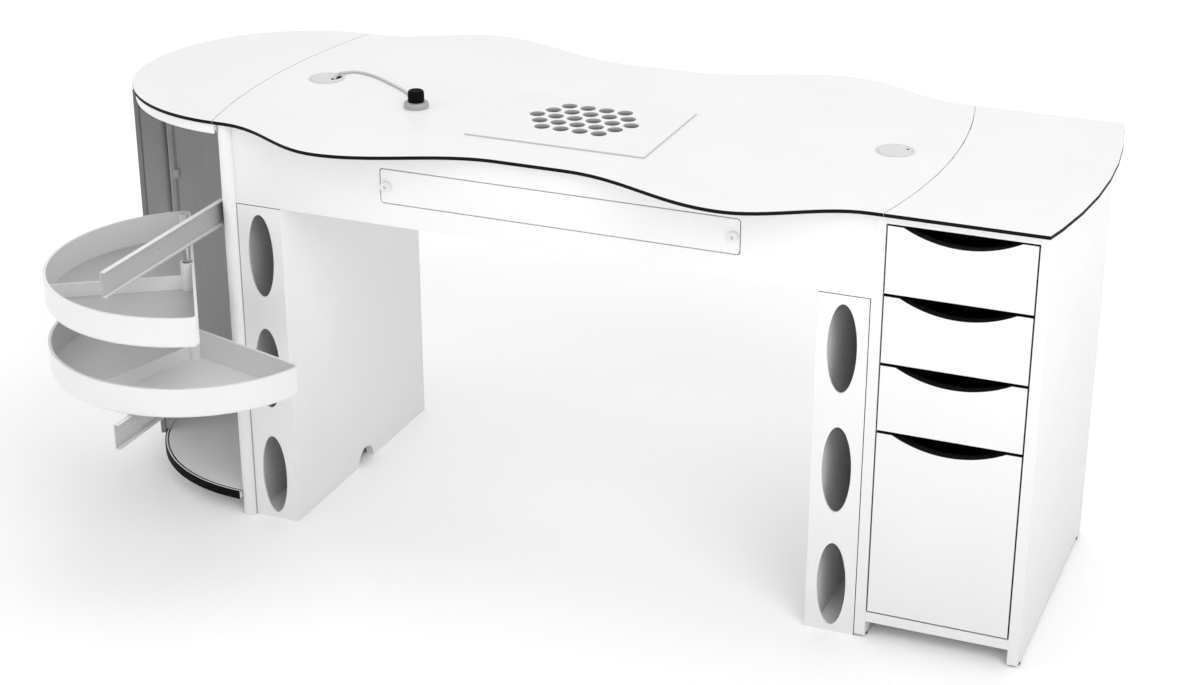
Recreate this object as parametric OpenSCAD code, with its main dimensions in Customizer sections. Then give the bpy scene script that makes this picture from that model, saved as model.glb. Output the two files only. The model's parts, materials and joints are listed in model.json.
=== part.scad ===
/* [Worktop] */
// Overall length of the worktop along X
top_length = 1750; // [1700:5:1800]
// Depth of the worktop where its edges run straight
top_depth = 575; // [565:1:585]
// Height of the worktop's upper face above the floor
top_height = 755; // [745:1:765]
// Thickness of the black-cored laminate worktop
top_thick = 6; // [5:0.5:8]
// How far the front edge stands in front of the legs
top_overhang = 22; // [15:1:30]
// How far each wave of the long edges stands out
wave_out = 81; // [40:1:90]
// Distance of each wave's crest from the middle
wave_crest = 349; // [330:1:360]
// Distance from the middle at which a wave starts
wave_start = 60; // [40:1:80]
// Distance from the middle at which a wave ends
wave_end = 565; // [540:1:570]
// Distance of each seam's ends from the middle
seam_x = 587; // [580:1:590]
// Rise of the curved seams and of the right end
end_bulge = 33; // [25:1:40]
// Gap left open at each seam
seam_gap = 1; // [0.8:0.1:1.5]

/* [Dust grille] */
// Width and depth of the loose grille plate
grille_size = [320, 247]; // [300:1:330]
// Thickness of the plate that lies on the worktop
grille_thick = 3; // [2:0.5:4]
// Diameter of the suction holes
grille_hole = 27; // [22:0.5:28]
// Distance between neighbouring suction holes
grille_pitch = 34.3; // [32:0.1:36]
// Centre of the plate behind the worktop's centre line
grille_y = -67.5; // [-75:0.5:-60]
// Centre of the hole pattern, from the worktop's middle
holes_at = [-4, -49.5]; // [-60:0.5:10]

/* [Cable ports] */
// Distance of each cable port from the middle
port_x = 524; // [515:1:530]
// Radius of the port's flange
port_r = 32.5; // [31:0.5:34]

/* [Legs and aprons] */
// Thickness of the carcass boards
board = 18; // [16:1:19]
// Width of each hollow leg
leg_w = 86; // [80:1:90]
// Thickness of the thin panel in front of each leg
leg_panel = 4; // [3:0.5:6]
// Gap beside and above each leg's front panel
panel_gap = 1.2; // [0.5:0.1:1.5]
// Depth of each hollow leg
leg_depth = 515; // [505:1:520]
// Height of the legs, up to the aprons
leg_h = 604; // [595:1:610]
// Width and height of the oval holes in the legs
oval = [49, 153]; // [40:1:160]
// Heights of the oval holes' centres
oval_z = [88, 298, 511]; // [80:1:520]
// Radius of the floor notch in the legs' side boards
notch_r = 30; // [20:1:35]
// Thickness of the tall panel beside the left leg
tall_board = 24; // [22:1:26]
// How far the tall panel's round nose stands out
nose_out = 13; // [10:1:14]

/* [Access panel] */
// Width and height of the access panel in the front apron
access_size = [632, 58.5]; // [50:0.5:640]
// Centre of the access panel, from the middle and the floor
access_at = [35, 674]; // [30:1:680]
// Travel of the filter drawer behind the access panel
filter_depth = 270; // [240:5:290]

/* [Drawer cabinet] */
// Clear width between the cabinet's side boards
bay_w = 238; // [234:1:240]
// Depth of the drawer cabinet
bay_depth = 500; // [490:1:510]
// Height of each of the three upper drawers, with its gap
drawer_pitch = 117.2; // [110:0.1:120]
// Gap between neighbouring drawer fronts
front_gap = 5; // [3:0.5:6]
// Width and depth of the scoop in a front's top edge
scoop = [184, 23]; // [15:1:190]

/* [Left cabinet] */
// Radius of the half-round end cabinet's plates
end_r = 283; // [282:0.5:284]
// Height of the base plate above the floor
base_z = 33; // [25:1:40]
// Thickness of the base plate
base_thick = 16; // [14:1:18]
// Angle of the shutter's leading edge, from +X, seen from above
shutter_at = 204.5; // [202:0.5:206]

/* [Swing trays] */
// Radius of the half-round trays
tray_r = 254; // [250:0.5:254.5]
// Height of a tray
tray_h = 53; // [45:1:55]
// Height of each tray's underside, lower one first
tray_z = [336, 465]; // [336:1:470]
// Turn of each tray at rest, lower one first
tray_turn = [74, 33]; // [0:1:90]
// Distance of the tray post from the worktop's centre line
post_out = 349.5; // [340:0.5:352]
// Height of the pull-out slides
slide_h = 44; // [42:1:45]

/* [Hand control] */
// Radius of the control's base
control_r = 21.5; // [20:0.5:24]
// Diameter of the control's cord
cord_d = 4.6; // [4:0.1:5]

/* [Hidden] */
$fn = 96;

// Heights
frame_z = top_height - top_thick;
base_top = base_z + base_thick;

// The row's origin is midway between the pull-out slides' near ends and the rear waves' crests
slide_reach = 625.5;
mid_y = (slide_reach - top_depth / 2 - wave_out) / 2;
face_y = mid_y - top_depth / 2 + top_overhang;

// Places along X
end_x = -(top_length - top_depth) / 2;
corner_x = top_length / 2 - end_bulge;
bay_x = corner_x - board - bay_w;
inner_side_x = bay_x - board;
tall_x = end_x;
left_leg_x = tall_x + tall_board;
right_leg_x = inner_side_x - leg_w;

// Radius of an arc of the worktop's depth that rises by end_bulge
arc_r = (pow(top_depth / 2, 2) + pow(end_bulge, 2)) / (2 * end_bulge);

// Swing trays: the post stands hub_in inside each tray's straight wall
hub_in = 12;
tray_wall = 5;
tray_corner = 13;
post_r = 5;
post_x = end_x - 29.2;
post_y = mid_y - post_out;
slide_z = [tray_z[0] - 3 - slide_h, tray_z[1] + tray_h + 41];
slide_len = 500;
slide_y = mid_y - slide_reach;

// Drawer fronts, top one first: lowest edge and height
bay_top = frame_z - board;
bay_floor = 49;
fronts = [for (i = [0:3]) let (
    hi = bay_top - i * drawer_pitch - (i == 0 ? 3 : front_gap / 2),
    lo = i < 3 ? bay_top - (i + 1) * drawer_pitch + front_gap / 2 : bay_floor + 2.5)
    [lo, hi - lo]];
side_gap = 2.5;
runner_w = 12;
box_len = 450;

// Fan and extractor
fan_at = [258, mid_y - 60];
case_x = [-279, 349];
case_y = [face_y + board + 8, face_y + board + 348];
case_z = [620, 746];
case_wall = 3;

// Control and its cord: the route's height is the cord's centre line
control_at = [-301, mid_y - 87];
cord_route = [[-508, -6, 731], [-508, -5, 737], [-508, -4, 743], [-508, -2, 749], [-508, 2, 755],
    [-508, 7, 759], [-508, 14, 761], [-508, 22, 761], [-507, 30, 759.6], [-505, 38, 757.8],
    [-501, 45, 757.4], [-495, 49, 757.4], [-487, 50.5, 757.4], [-477, 49, 757.4],
    [-466, 46, 757.4], [-454, 42, 757.4], [-441, 36, 757.4], [-427, 28, 757.4],
    [-412, 18.5, 757.4], [-397, 8.5, 757.4], [-382, -1.5, 757.4], [-367, -12, 757.4],
    [-353, -23.5, 757.4], [-341, -35.5, 757.8], [-330, -48.5, 758.8], [-321, -60.5, 759.6],
    [-314.3, -69.6, 760]];

white = [0.93, 0.93, 0.92];
shade = [0.55, 0.55, 0.55];
dark = [0.1, 0.1, 0.1];

// ---- shared shapes -------------------------------------------------------

// How far the long edge stands out of its straight line at a distance d from the middle
function wave(d) =
    d <= wave_start || d >= wave_end ? 0
    : d <= wave_crest ? wave_out / 2 * (1 - cos(180 * (d - wave_start) / (wave_crest - wave_start)))
    : wave_out / 2 * (1 + cos(180 * (d - wave_crest) / (wave_end - wave_crest)));

// A board between two corners
module slab(from, to) {
    translate(from) cube(to - from);
}

// A sector of a ring about the end cabinet's axis
module ring_sector(r0, r1, a0, a1, z0, z1) {
    translate([end_x, mid_y, z0])
        rotate([0, 0, a0])
            rotate_extrude(angle = a1 - a0)
                translate([r0, 0])
                    square([r1 - r0, z1 - z0]);
}

module half_disc(r, z0, z1) {
    intersection() {
        translate([end_x, mid_y, z0]) cylinder(r = r, h = z1 - z0);
        slab([end_x - r - 1, mid_y - r - 1, z0], [end_x, mid_y + r + 1, z1]);
    }
}

// The whole worktop's outline: straight and wavy edges, round left end, bowed right end
module top_outline() {
    half = top_depth / 2;
    steps = 72;
    xs = [for (i = [0:steps]) wave_end * (2 * i / steps - 1)];
    right_x = top_length / 2 + 1;
    translate([0, mid_y]) {
        translate([end_x, 0]) circle(r = half);
        intersection() {
            polygon(concat(
                [[end_x, -half]],
                [for (x = xs) [x, -half - wave(abs(x))]],
                [[right_x, -half], [right_x, half]],
                [for (i = [steps:-1:0]) [xs[i], half + wave(abs(xs[i]))]],
                [[end_x, half]]));
            translate([top_length / 2 - arc_r, 0]) circle(r = arc_r);
        }
    }
}

// The disc that the right seam, or mirrored the left one, is an arc of
module seam_disc(side, grow) {
    translate([side * (seam_x + end_bulge - arc_r), mid_y]) circle(r = arc_r + grow);
}

// ---- worktop -------------------------------------------------------------

module worktop_left() {
    color(white) translate([0, 0, frame_z]) linear_extrude(top_thick) difference() {
        top_outline();
        seam_disc(-1, seam_gap / 2);
    }
}

module worktop_right() {
    color(white) translate([0, 0, frame_z]) linear_extrude(top_thick) difference() {
        top_outline();
        seam_disc(1, seam_gap / 2);
    }
}

module worktop_centre() {
    plug = grille_size - [28, 28];
    color(white) difference() {
        translate([0, 0, frame_z]) linear_extrude(top_thick) intersection() {
            top_outline();
            seam_disc(-1, -seam_gap / 2);
            seam_disc(1, -seam_gap / 2);
        }
        slab([-plug[0] / 2, mid_y + grille_y - plug[1] / 2, frame_z - 1],
            [plug[0] / 2, mid_y + grille_y + plug[1] / 2, top_height + 1]);
        for (side = [-1, 1])
            translate([side * port_x, mid_y + 2, frame_z - 1]) cylinder(r = 30, h = top_thick + 2);
    }
}

// ---- dust grille and cable ports -----------------------------------------

module dust_grille() {
    rows = [4, 5, 6, 5, 4];
    plug = grille_size - [30, 30];
    color(white) difference() {
        union() {
            slab([-grille_size[0] / 2, mid_y + grille_y - grille_size[1] / 2, top_height],
                [grille_size[0] / 2, mid_y + grille_y + grille_size[1] / 2, top_height + grille_thick]);
            slab([-plug[0] / 2, mid_y + grille_y - plug[1] / 2, frame_z],
                [plug[0] / 2, mid_y + grille_y + plug[1] / 2, top_height]);
        }
        for (r = [0:4], c = [0:rows[r] - 1])
            translate([
                holes_at[0] + (c - (rows[r] - 1) / 2) * grille_pitch,
                mid_y + holes_at[1] + (r - 2) * grille_pitch * sin(60),
                frame_z - 1])
                cylinder(d = grille_hole, h = top_thick + grille_thick + 2);
    }
}

module port_liners() {
    color(shade) for (side = [-1, 1]) translate([side * port_x, mid_y + 2, 0]) rotate_extrude()
        polygon([[28, frame_z - 12], [29.8, frame_z - 12], [29.8, top_height], [port_r, top_height],
            [port_r, top_height + 1.2], [28, top_height + 1.2], [28, top_height - 2],
            [25, top_height - 2], [25, top_height - 4], [28, top_height - 4]]);
}

module port_cap(side) {
    translate([side * port_x, mid_y + 2, top_height - 1.8]) difference() {
        cylinder(r = 27.6, h = 3);
        children();
    }
}

module port_cap_left() {
    // The open slot runs beside the cap's rim and lets the cord out
    color(shade) port_cap(-1) translate([18, 6, 0]) rotate([0, 0, 73]) {
        for (end = [-1, 1]) translate([end * 9.5, 0, -1]) cylinder(r = 4.5, h = 5);
        slab([-9.5, -4.5, -1], [9.5, 4.5, 4]);
    }
}

module port_cap_right() {
    color(shade) port_cap(1) translate([18, 12, -1]) cylinder(r = 2.5, h = 5);
}

// ---- aprons, under panel and access panel --------------------------------

// A board with rounded corners that stands across Y
module round_front(size, at, r, y0, y1) {
    translate([at[0], y1, at[1]]) rotate([90, 0, 0]) linear_extrude(y1 - y0) {
        square([size[0], size[1] - 2 * r], center = true);
        square([size[0] - 2 * r, size[1]], center = true);
        for (sx = [-1, 1], sz = [-1, 1])
            translate([sx * (size[0] / 2 - r), sz * (size[1] / 2 - r)]) circle(r = r);
    }
}

module apron_front() {
    color(white) difference() {
        slab([left_leg_x, face_y, leg_h], [inner_side_x, face_y + board, frame_z]);
        round_front(access_size + [3.6, 3.6], access_at, 6.5, face_y - 1, face_y + board + 1);
    }
}

module apron_back() {
    color(white) slab([left_leg_x, face_y + leg_depth - board, leg_h],
        [inner_side_x, face_y + leg_depth, frame_z]);
}

module under_panel() {
    color(white) difference() {
        slab([left_leg_x, face_y + board, leg_h], [inner_side_x, face_y + leg_depth - board, leg_h + 12]);
        translate([fan_at[0], fan_at[1], leg_h - 1]) cylinder(r = 50, h = 14);
    }
}

module under_bracket() {
    color(shade) {
        slab([-409, face_y + 3, leg_h - 1.5], [-302, face_y + 33, leg_h]);
        for (x = [-405, -306])
            translate([x, face_y + 8, leg_h - 3]) cylinder(r = 3, h = 1.5);
    }
}

latch_in = 10.5;

module access_panel() {
    color(white) difference() {
        round_front(access_size, access_at, 5, face_y, face_y + board);
        for (side = [-1, 1])
            translate([access_at[0] + side * (access_size[0] / 2 - latch_in), face_y - 1, access_at[1]])
                rotate([-90, 0, 0]) cylinder(r = 4, h = board + 2);
    }
}

// Quarter-turn knob with its shaft and the tongue that turns behind the apron
module latch_knob(side) {
    x = access_at[0] + side * (access_size[0] / 2 - latch_in);
    color(white) translate([x, face_y, access_at[1]]) {
        difference() {
            translate([0, -0.3, 0]) rotate([90, 0, 0]) cylinder(r = 9, h = 6.7);
            translate([0, -4, 0]) rotate([90, 0, 0]) cylinder(r = 2.8, h = 4);
        }
        rotate([-90, 0, 0]) translate([0, 0, -0.4]) cylinder(r = 3.94, h = board + 5.4);
        slab([-6, board + 2, -6], [6, board + 5, 22]);
    }
}

module latch_knob_left() { latch_knob(-1); }
module latch_knob_right() { latch_knob(1); }

// ---- extractor -----------------------------------------------------------

filter_x = [-150, 142];
filter_z = [access_at[1] - 26, access_at[1] + 24];

module filter_tray() {
    y0 = face_y + board;
    y1 = y0 + filter_depth;
    color(shade) difference() {
        slab([filter_x[0], y0, filter_z[0]], [filter_x[1], y1, filter_z[1]]);
        slab([filter_x[0] + 4, y0 + 6, filter_z[0] + 3], [filter_x[1] - 4, y1 - 6, filter_z[1] + 1]);
        slab([filter_x[0] + 16, y0 + 18, filter_z[0] - 1], [filter_x[1] - 16, y1 - 18, filter_z[1]]);
    }
}

// Pleated filter: a row of folds that stand in the tray's frame
module filter_element() {
    y0 = face_y + board + 7;
    len = filter_depth - 14;
    folds = 24;
    step = (filter_x[1] - filter_x[0] - 10) / folds;
    lo = filter_z[0] + 3.5;
    hi = filter_z[1] - 6;
    color(dark) translate([filter_x[0] + 5, y0 + len, 0]) rotate([90, 0, 0])
        linear_extrude(len) polygon(concat(
            [for (i = [0:2 * folds]) [i * step / 2, i % 2 == 0 ? lo : hi - 3]],
            [for (i = [2 * folds:-1:0]) [i * step / 2, i % 2 == 0 ? lo + 3 : hi]]));
}

module extractor_case() {
    wall_x = 158;
    color(dark) {
        difference() {
            slab([case_x[0], case_y[0], case_z[0]], [case_x[1], case_y[1], case_z[1]]);
            slab([case_x[0] + case_wall, case_y[0] - 1, case_z[0] + case_wall],
                [wall_x, case_y[1] - case_wall, case_z[1] - case_wall]);
            slab([wall_x + case_wall, case_y[0] - 1, case_z[0] + case_wall],
                [case_x[1] - case_wall, case_y[1] - case_wall, case_z[1] - case_wall]);
            // opening below the grille, air inlet to the fan and outlet in the floor
            slab([-140, mid_y + grille_y - 105, case_z[1] - 5], [140, mid_y + grille_y + 105, case_z[1] + 1]);
            translate([wall_x - 1, fan_at[1], case_z[0] + 30]) rotate([0, 90, 0]) cylinder(r = 22, h = 6);
            translate([fan_at[0], fan_at[1], case_z[0] - 1]) cylinder(r = 50, h = 6);
        }
        // guides that the filter tray slides on
        for (x = [filter_x[0] - 1, filter_x[1] + 1])
            slab([x - 11, case_y[0], case_z[0] + case_wall], [x + 11, case_y[1] - 20, filter_z[0] - 0.5]);
    }
}

module fan_motor() {
    color(dark) translate([fan_at[0], fan_at[1], 0]) difference() {
        union() {
            translate([0, 0, 700]) cylinder(r = 32, h = 39);
            translate([0, 0, 739]) cylinder(r = 44, h = case_z[1] - case_wall - 739);
        }
        translate([0, 0, 699]) cylinder(r = 4.05, h = 31);
    }
}

module fan_rotor() {
    blades = 18;
    color(shade) translate([fan_at[0], fan_at[1], 0]) {
        translate([0, 0, 692]) cylinder(r = 68, h = 3);
        translate([0, 0, 640]) cylinder(r = 14, h = 53);
        translate([0, 0, 692]) cylinder(r = 4, h = 34);
        for (i = [0:blades - 1]) rotate([0, 0, i * 360 / blades])
            translate([44, 0, 642]) rotate([0, 0, 35]) slab([0, -1, 0], [24, 1, 51]);
        difference() {
            translate([0, 0, 640]) cylinder(r = 68, h = 3);
            translate([0, 0, 639]) cylinder(r = 46, h = 5);
        }
    }
}

module exhaust_grille() {
    color(shade) translate([fan_at[0], fan_at[1], leg_h - 2]) {
        difference() {
            cylinder(r = 56, h = 2);
            for (ring = [1:4], i = [0:6 * ring - 1])
                rotate([0, 0, i * 60 / ring]) translate([ring * 11, 0, -1]) cylinder(r = 3.6, h = 4);
        }
    }
}

module power_unit() {
    color(dark) {
        slab([-556, mid_y - 42, leg_h + 12], [-460, mid_y + 42, 724]);
        difference() {
            translate([-508, mid_y - 6, 724]) cylinder(r = 6, h = 7);
            translate([-508, mid_y - 6, 727]) cylinder(r = 2.5, h = 5);
        }
    }
}

module fan_lead() {
    color(dark) translate([-460, mid_y - 20, 650]) rotate([0, 90, 0]) cylinder(r = 3, h = case_x[0] + 460);
}

// ---- legs and tall panel -------------------------------------------------

leg_board = 16;

// Thin panel that stands between x0 and x1; its holes sit in the middle of the leg
module leg_front(x0, x1, middle) {
    color(white) difference() {
        slab([x0, face_y, 0], [x1, face_y + leg_panel, leg_h - panel_gap]);
        for (z = oval_z)
            translate([middle, face_y + leg_panel + 1, z]) rotate([90, 0, 0]) linear_extrude(leg_panel + 2)
                polygon([for (a = [0:7.5:359]) [oval[0] / 2 * cos(a), oval[1] / 2 * sin(a)]]);
    }
}

// Upright board on the leg's side to the seat
module leg_side(x) {
    color(white) difference() {
        slab([x, face_y + leg_panel, 0], [x + leg_board, face_y + leg_depth, leg_h]);
        translate([x - 1, mid_y, 0]) rotate([0, 90, 0]) cylinder(r = notch_r, h = leg_board + 2);
    }
}

module leg_back(x) {
    color(white) slab([x, face_y + leg_depth - board, 0],
        [x + leg_w - leg_board, face_y + leg_depth, leg_h]);
}

module leg_left_front() {
    leg_front(left_leg_x + panel_gap, left_leg_x + leg_w, left_leg_x + leg_w / 2);
}

module leg_right_front() {
    leg_front(right_leg_x, right_leg_x + leg_w - panel_gap, right_leg_x + leg_w / 2);
}

module leg_left_side() { leg_side(left_leg_x + leg_w - leg_board); }
module leg_left_back() { leg_back(left_leg_x); }
module leg_right_side() { leg_side(right_leg_x); }
module leg_right_back() { leg_back(right_leg_x + leg_board); }

module tall_panel() {
    r = tall_board / 2;
    front = face_y - nose_out + r;
    back = mid_y + end_r - r;
    color(white) {
        slab([tall_x, front, 0], [tall_x + tall_board, back, frame_z]);
        for (y = [front, back]) translate([tall_x + r, y, 0]) cylinder(r = r, h = frame_z);
    }
}

// ---- drawer cabinet ------------------------------------------------------

glide_h = 4;

module cabinet_side_inner() {
    color(white) slab([inner_side_x, face_y, glide_h], [bay_x, face_y + bay_depth, frame_z]);
}

module cabinet_side_outer() {
    color(white) slab([bay_x + bay_w, face_y, glide_h], [bay_x + bay_w + board, face_y + bay_depth, frame_z]);
}

module cabinet_top() {
    color(white) slab([bay_x, face_y, bay_top], [bay_x + bay_w, face_y + bay_depth, frame_z]);
}

module cabinet_base() {
    color(white) slab([bay_x, face_y, bay_floor - board], [bay_x + bay_w, face_y + bay_depth, bay_floor]);
}

module cabinet_back() {
    color(white) slab([bay_x, face_y + bay_depth - 8, bay_floor],
        [bay_x + bay_w, face_y + bay_depth, bay_top]);
}

module drawer_front(i) {
    lo = fronts[i][0];
    h = fronts[i][1];
    r = (pow(scoop[0] / 2, 2) + pow(scoop[1], 2)) / (2 * scoop[1]);
    color(white) difference() {
        slab([bay_x + side_gap, face_y, lo], [bay_x + bay_w - side_gap, face_y + board, lo + h]);
        translate([bay_x + bay_w / 2, face_y - 1, lo + h - scoop[1] + r]) rotate([-90, 0, 0])
            cylinder(r = r, h = board + 2);
    }
}

// Open-topped box with the moving half of its runners on both sides
module drawer_box(i) {
    x0 = bay_x + runner_w + 1;
    x1 = bay_x + bay_w - runner_w - 1;
    y0 = face_y + board;
    y1 = y0 + box_len;
    z0 = fronts[i][0] + 12;
    h = i < 3 ? 68 : 230;
    color(dark) {
        difference() {
            slab([x0, y0, z0], [x1, y1, z0 + h]);
            slab([x0 + 10, y0 + 10, z0 + 6], [x1 - 10, y1 - 10, z0 + h + 1]);
        }
        for (x = [x0 - 5.2, x1 + 0.2]) slab([x, y0 + 2, z0 + 10], [x + 5, y1 - 10, z0 + 36]);
    }
}

module drawer_front_1() { drawer_front(0); }
module drawer_front_2() { drawer_front(1); }
module drawer_front_3() { drawer_front(2); }
module drawer_front_4() { drawer_front(3); }
module drawer_box_1() { drawer_box(0); }
module drawer_box_2() { drawer_box(1); }
module drawer_box_3() { drawer_box(2); }
module drawer_box_4() { drawer_box(3); }

// The fixed half of each runner, a channel on the cabinet's side
module drawer_runners() {
    y0 = face_y + board + 4;
    color(shade) for (i = [0:3], side = [0, 1]) {
        z0 = fronts[i][0] + 18;
        translate([side == 0 ? bay_x : bay_x + bay_w, y0, z0]) mirror([side, 0, 0]) {
            slab([0, 0, 0], [1.5, box_len - 10, 38]);
            slab([0, 0, 0], [6.5, box_len - 10, 1.5]);
            slab([0, 0, 36.5], [6.5, box_len - 10, 38]);
        }
    }
}

// ---- left cabinet --------------------------------------------------------

groove_r = 276;
sheet_r = 284;

module end_top_plate() {
    color(white) difference() {
        half_disc(end_r, frame_z - board, frame_z);
        ring_sector(groove_r, groove_r + 2, 80, 280, frame_z - board - 1, frame_z - board + 4);
    }
}

module end_base_plate() {
    color(white) difference() {
        half_disc(end_r - 2, base_z, base_top);
        ring_sector(groove_r, groove_r + 2, 80, 280, base_top - 4, base_top + 1);
    }
}

module end_base_band() {
    color(dark) ring_sector(end_r - 2, end_r, 90, 270, base_z, base_top);
}

module end_back_wall() {
    color(shade) ring_sector(272.5, 275.5, 90.5, 177, base_top, frame_z - board);
}

// Upright at the back wall's free edge, with a small clip on it
module wall_strip() {
    color(dark) {
        ring_sector(272.5, 275.5, 177.2, 182, base_top, frame_z - board);
        ring_sector(264, 272.5, 177.6, 180.2, 522, 538);
    }
}

// Curved sheet outside the plates; its lips reach over the rims and a fin runs in each groove
module shutter() {
    back = 112;
    top = frame_z - board;
    color(shade) {
        ring_sector(sheet_r, sheet_r + 3, back, shutter_at - 2, base_top - 4, top - 1);
        for (z = [base_top + 0.6, top - 2.6])
            ring_sector(groove_r + 0.5, sheet_r + 1, back, shutter_at - 2, z, z + 2);
        ring_sector(groove_r + 0.5, groove_r + 1.5, back, shutter_at - 2, base_top - 3, base_top + 1);
        ring_sector(groove_r + 0.5, groove_r + 1.5, back, shutter_at - 2, top - 1, top + 3);
    }
}

module shutter_handle() {
    color(dark) ring_sector(sheet_r, sheet_r + 9, shutter_at - 2, shutter_at,
        base_top - 4, frame_z - board - 1);
}

// ---- swing trays and their pull-out --------------------------------------

module slide_fixed(z) {
    y0 = face_y + 6;
    y1 = mid_y + 240;
    color(shade) {
        slab([tall_x - 1.5, y0, z + 4], [tall_x, y1, z + slide_h - 4]);
        for (h = [4, slide_h - 5.5]) slab([tall_x - 9, y0, z + h], [tall_x, y1, z + h + 1.5]);
    }
}

module tray_slides_fixed() {
    for (z = slide_z) slide_fixed(z);
}

module slide_moving(z) {
    y1 = slide_y + slide_len;
    color(shade) difference() {
        slab([tall_x - 14, slide_y, z], [tall_x - 5, y1, z + slide_h]);
        slab([tall_x - 12.3, slide_y - 1, z + 1.7], [tall_x - 4, y1 + 1, z + slide_h - 1.7]);
        for (y = [60, 170]) translate([tall_x - 15, slide_y + y, z + slide_h / 2]) rotate([0, 90, 0])
            cylinder(r = 2, h = 4);
    }
}

module tray_slides_moving() {
    for (z = slide_z) slide_moving(z);
}

bracket_z = [slide_z[0] + slide_h - 12, slide_z[1] + 2];
bracket_t = 6;

module tray_brackets() {
    color(shade) for (z = bracket_z) difference() {
        union() {
            slab([post_x, post_y - 11, z], [tall_x - 14, post_y + 11, z + bracket_t]);
            translate([post_x, post_y, z]) cylinder(r = 11, h = bracket_t);
        }
        translate([post_x, post_y, z - 1]) cylinder(r = post_r, h = bracket_t + 2);
    }
}

// Post with a collar below each tray
module tray_post() {
    color(shade) translate([post_x, post_y, 0]) {
        translate([0, 0, bracket_z[0]]) cylinder(r = post_r, h = bracket_z[1] + bracket_t - bracket_z[0]);
        for (z = tray_z) translate([0, 0, z - 8.3]) cylinder(r = 8, h = 8);
    }
}

// Half disc about the arc's centre, its straight side at x = -inset and its corners rounded
module tray_shape(inset) {
    r = tray_r - inset;
    reach = sqrt(pow(tray_r - tray_corner, 2) - pow(tray_corner, 2));
    tangent_x = -tray_corner * tray_r / (tray_r - tray_corner);
    intersection() {
        circle(r = r);
        translate([-2 * r, -r]) square([2 * r + tangent_x, 2 * r]);
    }
    translate([tangent_x - 1, -reach]) square([1 - tangent_x - inset, 2 * reach]);
    for (side = [-1, 1]) translate([-tray_corner, side * reach]) circle(r = tray_corner - inset);
}

// Tray on its hub, with a divider and a socket in one corner
module tray(i) {
    floor_t = 3;
    reach = sqrt(pow(tray_r - tray_corner, 2) - pow(tray_corner, 2));
    color(white) translate([post_x, post_y, tray_z[i]]) rotate([0, 0, tray_turn[i]]) difference() {
        union() {
            translate([hub_in, 0, 0]) difference() {
                linear_extrude(tray_h) tray_shape(0);
                translate([0, 0, floor_t]) linear_extrude(tray_h) tray_shape(tray_wall);
            }
            cylinder(r = hub_in, h = tray_h);
            translate([hub_in - tray_corner, reach, 0]) cylinder(r = 9, h = tray_h);
            slab([hub_in - tray_r + 2, -1.5, 1], [-hub_in + 2, 1.5, 28]);
        }
        translate([0, 0, -1]) cylinder(r = post_r + 0.06, h = tray_h + 2);
        translate([0, 0, 30]) cylinder(r = hub_in - 2.5, h = tray_h);
        translate([hub_in - tray_corner, reach, 20]) cylinder(r = 4.5, h = tray_h);
    }
}

module tray_lower() { tray(0); }
module tray_upper() { tray(1); }

// ---- hand control --------------------------------------------------------

module control_base() {
    color(shade) translate([control_at[0], control_at[1], top_height]) difference() {
        union() {
            cylinder(r = control_r, h = 8);
            translate([0, 0, 8]) cylinder(r1 = control_r, r2 = control_r - 2, h = 2, $fn = 64);
        }
        translate([0, 0, 4]) cylinder(r = 4.06, h = 8);
    }
}

module control_knob() {
    color(dark) translate([control_at[0], control_at[1], top_height]) {
        translate([0, 0, 10.3]) cylinder(r = 14.3, h = 18);
        translate([0, 0, 28.3]) cylinder(r1 = 14.3, r2 = 12.5, h = 2, $fn = 64);
        translate([0, 0, 4.5]) cylinder(r = 4, h = 6);
    }
}

// Tube swept along the route: one ring of points per station, square to the way
cord_sides = 8;
function unit(v) = v / norm(v);
function cord_dir(i) = unit(
    cord_route[min(i + 1, len(cord_route) - 1)] - cord_route[max(i - 1, 0)]);
function cord_ring(i) = let (
    d = cord_dir(i),
    side = unit(cross(d, [0.3, 0.1, abs(d[2]) > 0.8 ? 0 : 1])),
    up = cross(side, d))
    [for (k = [0:cord_sides - 1]) let (a = 360 * k / cord_sides)
        cord_route[i] + [0, mid_y, 0] + cord_d / 2 * (cos(a) * side + sin(a) * up)];

module control_cord() {
    n = len(cord_route);
    color(shade) polyhedron(
        points = [for (i = [0:n - 1]) each cord_ring(i)],
        faces = concat(
            [[for (k = [0:cord_sides - 1]) k]],
            [for (i = [0:n - 2], k = [0:cord_sides - 1]) let (m = (k + 1) % cord_sides)
                [i * cord_sides + k, (i + 1) * cord_sides + k,
                    (i + 1) * cord_sides + m, i * cord_sides + m]],
            [[for (k = [cord_sides - 1:-1:0]) (n - 1) * cord_sides + k]]));
}

// ---- floor glides --------------------------------------------------------

module floor_glides() {
    color(dark) for (x = [inner_side_x + board / 2, bay_x + bay_w + board / 2], y = [16, 472])
        translate([x, face_y + y, 0]) cylinder(r = board / 2 + 1, h = glide_h);
}

worktop_left();
worktop_centre();
worktop_right();
dust_grille();
port_liners();
port_cap_left();
port_cap_right();
apron_front();
apron_back();
under_panel();
under_bracket();
access_panel();
latch_knob_left();
latch_knob_right();
filter_tray();
filter_element();
extractor_case();
fan_motor();
fan_rotor();
exhaust_grille();
power_unit();
fan_lead();
leg_left_front();
leg_left_side();
leg_left_back();
leg_right_front();
leg_right_side();
leg_right_back();
tall_panel();
cabinet_side_inner();
cabinet_side_outer();
cabinet_top();
cabinet_base();
cabinet_back();
drawer_front_1();
drawer_front_2();
drawer_front_3();
drawer_front_4();
drawer_box_1();
drawer_box_2();
drawer_box_3();
drawer_box_4();
drawer_runners();
end_top_plate();
end_base_plate();
end_base_band();
end_back_wall();
wall_strip();
shutter();
shutter_handle();
tray_slides_fixed();
tray_slides_moving();
tray_brackets();
tray_post();
tray_lower();
tray_upper();
control_base();
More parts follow.
